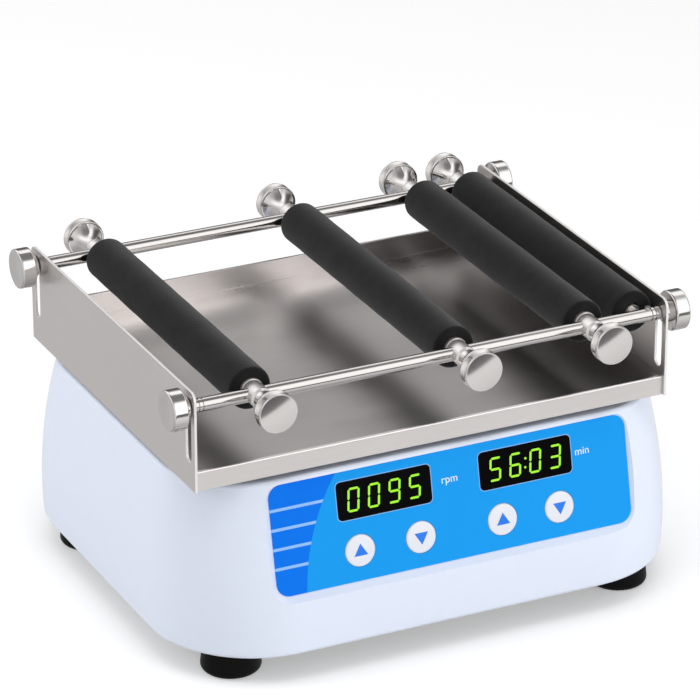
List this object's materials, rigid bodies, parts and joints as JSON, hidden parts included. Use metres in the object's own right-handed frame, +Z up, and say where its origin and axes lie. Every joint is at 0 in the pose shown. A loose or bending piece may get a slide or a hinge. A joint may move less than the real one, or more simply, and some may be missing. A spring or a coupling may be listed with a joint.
{
  "type": "benchtop orbital shaker",
  "caption": "Open benchtop orbital shaker: a moulded housing with a control panel carries a stainless tray whose padded bars clamp flasks while a crank swings it in a circle.",
  "frame": {"origin": "on the bench, at the centre of the box that the whole machine takes up at rest", "axes": "+Z up, -Y out of the control panel, +X to the right of someone who faces the panel"},
  "size_m": [0.2891, 0.2487, 0.1631],
  "materials": {
    "housing_plastic": "moulded, satin",
    "base_sheet": "powder coated",
    "foot_rubber": "moulded, matt",
    "screw_steel": "zinc plated",
    "label_film": "printed film, satin",
    "window_film": "dark tinted, glossy",
    "display_module": "moulded",
    "circuit_board": "solder resist",
    "key_plastic": "moulded, satin",
    "black_plastic": "moulded",
    "machined_aluminium": "machined",
    "bearing_steel": "ground",
    "crank_steel": "turned",
    "motor_metal": "painted",
    "belt_rubber": "matt",
    "tray_steel": "brushed stainless sheet",
    "rod_steel": "polished stainless rod",
    "knob_steel": "turned and polished stainless",
    "bar_foam": "closed-cell foam, matt"
  },
  "bodies": {
    "root": {"housing": "housing_plastic", "base_plate": "base_sheet", "rubber_feet": "foot_rubber", "foot_screws": "screw_steel", "panel_label": "label_film", "display_windows": "window_film", "led_displays": "display_module", "control_board": "circuit_board", "key_switches": "black_plastic", "mains_inlet": "black_plastic", "power_switch": "black_plastic", "power_supply": "circuit_board", "bearing_deck": "machined_aluminium", "deck_pillars": "machined_aluminium", "motor": "motor_metal", "motor_bracket": "machined_aluminium", "drive_belt": "belt_rubber", "shaft_block": "machined_aluminium", "deck_bearings": "bearing_steel"},
    "crank": {"main_crank": "crank_steel", "drive_pulley": "machined_aluminium", "counterweight": "crank_steel"},
    "tray": {"carrier_plate": "machined_aluminium", "carrier_bearings": "bearing_steel", "platform": "tray_steel", "left_side_plate": "tray_steel", "right_side_plate": "tray_steel", "platform_screws": "screw_steel"},
    "motor_rotor": {"motor_pulley": "machined_aluminium"},
    "rails": {"front_rod": "rod_steel", "rear_rod": "rod_steel", "bar_4_core": "knob_steel", "bar_4_foam": "bar_foam"},
    "rocker": {"switch_rocker": "black_plastic"},
    "idler_1": {"idler_crank_1": "crank_steel"},
    "idler_2": {"idler_crank_2": "crank_steel"},
    "idler_3": {"idler_crank_3": "crank_steel"},
    "idler_4": {"idler_crank_4": "crank_steel"},
    "front_left_clamp": {"front_left_knob": "knob_steel"},
    "front_right_clamp": {"front_right_knob": "knob_steel"},
    "rear_left_clamp": {"rear_left_knob": "knob_steel"},
    "rear_right_clamp": {"rear_right_knob": "knob_steel"},
    "bar_1": {"bar_1_core": "knob_steel", "bar_1_foam": "bar_foam"},
    "bar_1_front_clamp": {"bar_1_front_knob": "knob_steel"},
    "bar_1_rear_clamp": {"bar_1_rear_knob": "knob_steel"},
    "bar_2": {"bar_2_core": "knob_steel", "bar_2_foam": "bar_foam"},
    "bar_2_front_clamp": {"bar_2_front_knob": "knob_steel"},
    "bar_2_rear_clamp": {"bar_2_rear_knob": "knob_steel"},
    "bar_3": {"bar_3_core": "knob_steel", "bar_3_foam": "bar_foam"},
    "bar_3_front_clamp": {"bar_3_front_knob": "knob_steel"},
    "bar_3_rear_clamp": {"bar_3_rear_knob": "knob_steel"},
    "bar_4_rear_clamp": {"bar_4_rear_knob": "knob_steel"},
    "rpm_up": {"rpm_up_key": "key_plastic"},
    "rpm_down": {"rpm_down_key": "key_plastic"},
    "time_up": {"time_up_key": "key_plastic"},
    "time_down": {"time_down_key": "key_plastic"}
  },
  "joints": [
    {"name": "crank_turn", "type": "hinge", "parent": "root", "child": "crank", "pos_m": [0.00195, 0.0026, 0.06], "axis": [0, 0, 1], "continuous": true},
    {"name": "tray_turn", "type": "hinge", "parent": "crank", "child": "tray", "pos_m": [-0.00205, -0.0004, 0.114], "axis": [0, 0, 1], "continuous": true},
    {"name": "motor_turn", "type": "hinge", "parent": "root", "child": "motor_rotor", "pos_m": [-0.07305, 0.0026, 0.04], "axis": [0, 0, 1], "continuous": true},
    {"name": "idler_1_turn", "type": "hinge", "parent": "root", "child": "idler_1", "pos_m": [-0.09005, -0.0594, 0.095], "axis": [0, 0, 1], "continuous": true},
    {"name": "idler_2_turn", "type": "hinge", "parent": "root", "child": "idler_2", "pos_m": [0.09395, -0.0594, 0.095], "axis": [0, 0, 1], "continuous": true},
    {"name": "idler_3_turn", "type": "hinge", "parent": "root", "child": "idler_3", "pos_m": [-0.09005, 0.0646, 0.095], "axis": [0, 0, 1], "continuous": true},
    {"name": "idler_4_turn", "type": "hinge", "parent": "root", "child": "idler_4", "pos_m": [0.09395, 0.0646, 0.095], "axis": [0, 0, 1], "continuous": true},
    {"name": "rails_lift", "type": "slide", "parent": "tray", "child": "rails", "axis": [0, 0, 1], "range_m": [-0.015, 0]},
    {"name": "front_left_turn", "type": "hinge", "parent": "rails", "child": "front_left_clamp", "pos_m": [-0.14005, -0.097, 0.1518], "axis": [-1, 0, 0], "continuous": true},
    {"name": "front_right_turn", "type": "hinge", "parent": "rails", "child": "front_right_clamp", "pos_m": [0.13595, -0.097, 0.1518], "axis": [1, 0, 0], "continuous": true},
    {"name": "rear_left_turn", "type": "hinge", "parent": "rails", "child": "rear_left_clamp", "pos_m": [-0.14005, 0.0962, 0.1518], "axis": [-1, 0, 0], "continuous": true},
    {"name": "rear_right_turn", "type": "hinge", "parent": "rails", "child": "rear_right_clamp", "pos_m": [0.13595, 0.0962, 0.1518], "axis": [1, 0, 0], "continuous": true},
    {"name": "bar_1_slide", "type": "slide", "parent": "rails", "child": "bar_1", "axis": [1, 0, 0], "range_m": [-0.022, 0.04]},
    {"name": "bar_1_front_turn", "type": "hinge", "parent": "bar_1", "child": "bar_1_front_clamp", "pos_m": [-0.09685, -0.1184, 0.1518], "axis": [0, -1, 0], "continuous": true},
    {"name": "bar_1_rear_turn", "type": "hinge", "parent": "bar_1", "child": "bar_1_rear_clamp", "pos_m": [-0.09685, 0.1176, 0.1518], "axis": [0, 1, 0], "continuous": true},
    {"name": "bar_2_slide", "type": "slide", "parent": "rails", "child": "bar_2", "axis": [1, 0, 0], "range_m": [-0.045, 0.03]},
    {"name": "bar_2_front_turn", "type": "hinge", "parent": "bar_2", "child": "bar_2_front_clamp", "pos_m": [0.01445, -0.1184, 0.1518], "axis": [0, -1, 0], "continuous": true},
    {"name": "bar_2_rear_turn", "type": "hinge", "parent": "bar_2", "child": "bar_2_rear_clamp", "pos_m": [0.01445, 0.1176, 0.1518], "axis": [0, 1, 0], "continuous": true},
    {"name": "bar_3_slide", "type": "slide", "parent": "rails", "child": "bar_3", "axis": [1, 0, 0], "range_m": [-0.018, 0.004]},
    {"name": "bar_3_front_turn", "type": "hinge", "parent": "bar_3", "child": "bar_3_front_clamp", "pos_m": [0.08745, -0.1184, 0.1518], "axis": [0, -1, 0], "continuous": true},
    {"name": "bar_3_rear_turn", "type": "hinge", "parent": "bar_3", "child": "bar_3_rear_clamp", "pos_m": [0.08745, 0.1176, 0.1518], "axis": [0, 1, 0], "continuous": true},
    {"name": "bar_4_rear_turn", "type": "hinge", "parent": "rails", "child": "bar_4_rear_clamp", "pos_m": [0.11575, 0.1176, 0.1518], "axis": [0, 1, 0], "continuous": true},
    {"name": "rpm_up_press", "type": "slide", "parent": "root", "child": "rpm_up", "axis": [0, 0.9773, -0.2118], "range_m": [0, 0.0005], "stiffness_N_per_m": 900},
    {"name": "rpm_down_press", "type": "slide", "parent": "root", "child": "rpm_down", "axis": [0, 0.9773, -0.2118], "range_m": [0, 0.0005], "stiffness_N_per_m": 900},
    {"name": "time_up_press", "type": "slide", "parent": "root", "child": "time_up", "axis": [0, 0.9773, -0.2118], "range_m": [0, 0.0005], "stiffness_N_per_m": 900},
    {"name": "time_down_press", "type": "slide", "parent": "root", "child": "time_down", "axis": [0, 0.9773, -0.2118], "range_m": [0, 0.0005], "stiffness_N_per_m": 900},
    {"name": "rocker_tilt", "type": "hinge", "parent": "root", "child": "rocker", "pos_m": [-0.02405, 0.1205, 0.046], "axis": [1, 0, 0], "range_deg": [-16, 0]}
  ],
  "couplings": [
    {"joint": "tray_turn", "follows": "crank_turn", "ratio": -1},
    {"joint": "motor_turn", "follows": "crank_turn", "ratio": 5.625},
    {"joint": "idler_1_turn", "follows": "crank_turn", "ratio": 1},
    {"joint": "idler_2_turn", "follows": "crank_turn", "ratio": 1},
    {"joint": "idler_3_turn", "follows": "crank_turn", "ratio": 1},
    {"joint": "idler_4_turn", "follows": "crank_turn", "ratio": 1}
  ]
}
